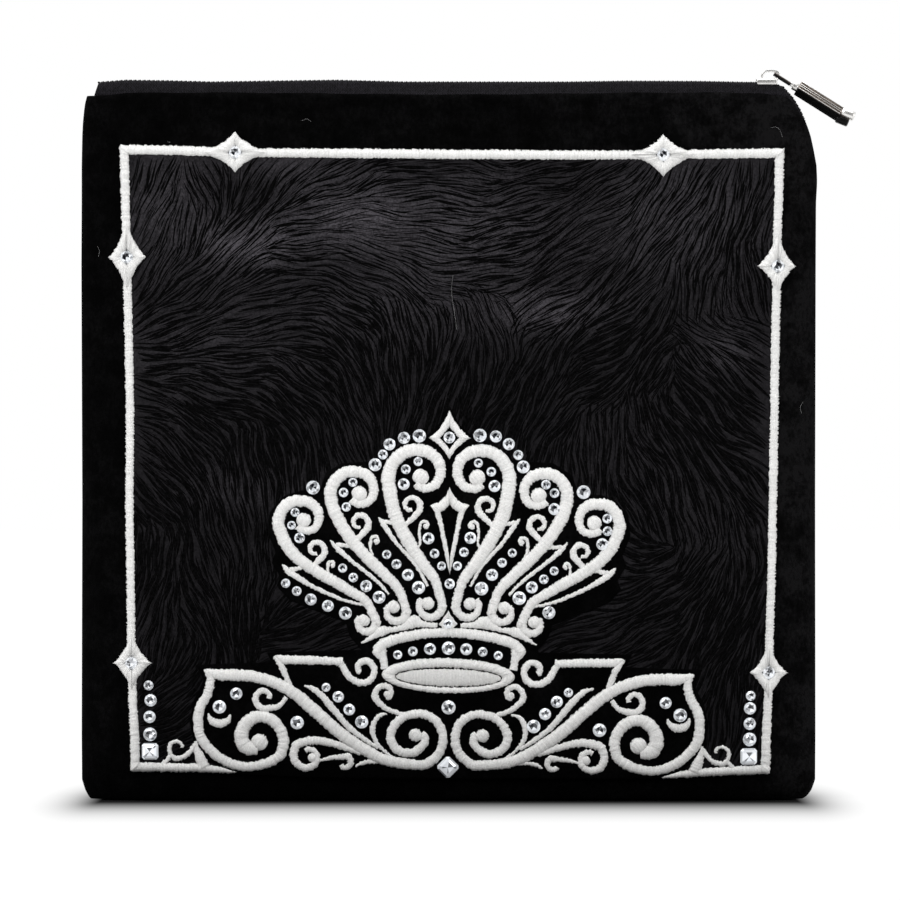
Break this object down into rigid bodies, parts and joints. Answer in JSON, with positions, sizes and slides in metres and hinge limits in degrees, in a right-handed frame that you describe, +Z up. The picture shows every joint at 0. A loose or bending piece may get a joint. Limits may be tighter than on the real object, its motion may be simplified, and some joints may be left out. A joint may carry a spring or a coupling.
{
  "type": "tallit bag",
  "caption": "Flat velvet pouch for a prayer shawl with a zip along its top edge, a stitched white frame and crown set with cut stones.",
  "frame": {"origin": "middle of the flat strip that the bag stands on", "axes": "+Z up, front with the embroidery towards -Y, the zip's slider towards +X"},
  "size_m": [0.261, 0.0371, 0.2457],
  "materials": {
    "velvet": "deep black pile",
    "figured_cloth": "charcoal satin with a dark fur figure",
    "satin_thread": "white satin stitch",
    "zip_tape": "woven",
    "zip_coil": "semi-matt",
    "nickel": "polished",
    "crystal": "cut and silver-backed"
  },
  "bodies": {
    "bag": {"front_panel": "velvet", "back_panel": "velvet", "figured_panel": "figured_cloth", "motif_ground": "velvet", "frame_border": "satin_thread", "plume_left_1": "satin_thread", "plume_left_2": "satin_thread", "plume_left_3": "satin_thread", "plume_right_1": "satin_thread", "plume_right_2": "satin_thread", "plume_right_3": "satin_thread", "crown_finial": "satin_thread", "crown_lozenge": "satin_thread", "crown_band": "satin_thread", "crown_scallop_left": "satin_thread", "crown_scallop_right": "satin_thread", "crown_ring": "satin_thread", "ring_fill": "satin_thread", "base_scroll_left": "satin_thread", "base_scroll_right": "satin_thread", "base_leaf_left": "satin_thread", "base_leaf_right": "satin_thread", "base_bracket_left": "satin_thread", "base_bracket_right": "satin_thread", "base_crescent_left": "satin_thread", "base_crescent_right": "satin_thread", "zip_chain": "zip_coil", "zip_tape_front": "zip_tape", "zip_tape_back": "zip_tape", "slider": "nickel", "stone_outer_1_left": "crystal", "stone_outer_1_right": "crystal", "stone_outer_2_left": "crystal", "stone_outer_2_right": "crystal", "stone_outer_3_left": "crystal", "stone_outer_3_right": "crystal", "stone_outer_4_left": "crystal", "stone_outer_4_right": "crystal", "stone_outer_5_left": "crystal", "stone_outer_5_right": "crystal", "stone_outer_6_left": "crystal", "stone_outer_6_right": "crystal", "stone_corner_1_left": "crystal", "stone_corner_1_right": "crystal", "stone_corner_2_left": "crystal", "stone_corner_2_right": "crystal", "stone_corner_3_left": "crystal", "stone_corner_3_right": "crystal", "stone_corner_4_left": "crystal", "stone_corner_4_right": "crystal", "stone_corner_5_left": "crystal", "stone_corner_5_right": "crystal", "stone_below_1_left": "crystal", "stone_below_2_left": "crystal", "stone_below_3_left": "crystal", "stone_below_4_left": "crystal", "stone_below_5_left": "crystal", "stone_below_5_right": "crystal", "stone_foot": "crystal"},
    "pull": {"pull": "nickel"}
  },
  "joints": [
    {"name": "pull_hinge", "type": "hinge", "parent": "bag", "child": "pull", "pos_m": [0.1102, 0, 0.2442], "axis": [0, -1, 0], "range_deg": [0, 205]}
  ]
}
